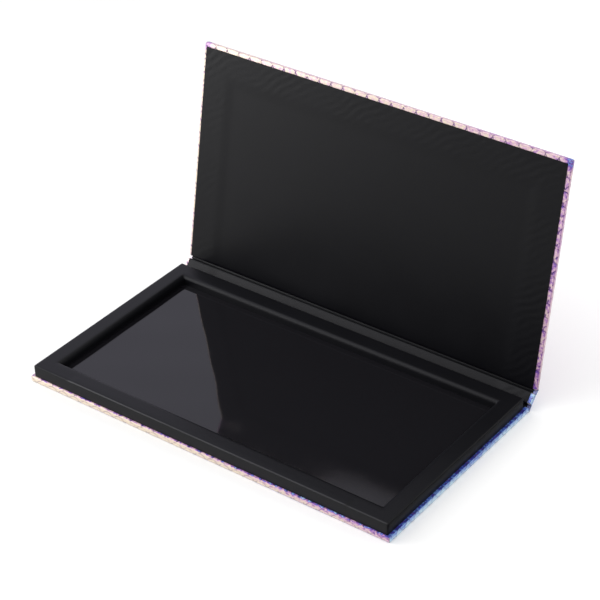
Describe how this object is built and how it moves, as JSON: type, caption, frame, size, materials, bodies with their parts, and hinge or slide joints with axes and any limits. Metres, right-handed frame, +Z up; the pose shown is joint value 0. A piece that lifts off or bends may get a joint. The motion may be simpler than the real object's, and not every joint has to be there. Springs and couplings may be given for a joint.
{
  "type": "magnetic palette",
  "caption": "Book-style magnetic palette: a wrapped card case with a shallow gloss-floored tray for steel-backed colour pans, closed by a lid on a folding spine.",
  "frame": {"origin": "middle of the base's underside", "axes": "+X along the case's long side, +Y towards the spine, +Z up out of the tray"},
  "size_m": [0.2, 0.1385, 0.1181],
  "materials": {
    "foil_wrap": "embossed iridescent foil-faced paper",
    "grey_board": "dense grey board",
    "black_lining": "smooth black lining paper, faint satin sheen",
    "black_frame_paper": "matt black covering paper",
    "magnet_rubber": "dark flexible magnet sheet",
    "gloss_film": "high-gloss black film",
    "steel": "thin tinned steel strip"
  },
  "bodies": {
    "base": {"base_board": "grey_board", "base_wrap": "foil_wrap", "base_liner": "black_lining", "front_rail": "grey_board", "rear_rail": "grey_board", "left_rail": "grey_board", "right_rail": "grey_board", "closure_strip": "magnet_rubber", "frame_wrap": "black_frame_paper", "floor_card": "grey_board", "magnet_sheet": "magnet_rubber", "gloss_film": "gloss_film", "lower_hinge_wrap": "foil_wrap", "lower_hinge_lining": "black_lining"},
    "spine": {"spine_board": "grey_board", "spine_wrap": "foil_wrap", "spine_lining": "black_lining", "upper_hinge_wrap": "foil_wrap", "upper_hinge_lining": "black_lining"},
    "lid": {"lid_board": "grey_board", "lid_wrap": "foil_wrap", "lid_lining": "black_lining", "lid_keeper": "steel"}
  },
  "joints": [
    {"name": "spine_fold", "type": "hinge", "parent": "base", "child": "spine", "pos_m": [0, 0.05575, 0.0006], "axis": [1, 0, 0], "range_deg": [-46.5, 43.5], "deforming": ["lower_hinge_wrap", "lower_hinge_lining"]},
    {"name": "lid_fold", "type": "hinge", "parent": "spine", "child": "lid", "pos_m": [0, 0.06278, 0.00801], "axis": [1, 0, 0], "range_deg": [-33.5, 56.5], "deforming": ["upper_hinge_wrap", "upper_hinge_lining"]}
  ]
}
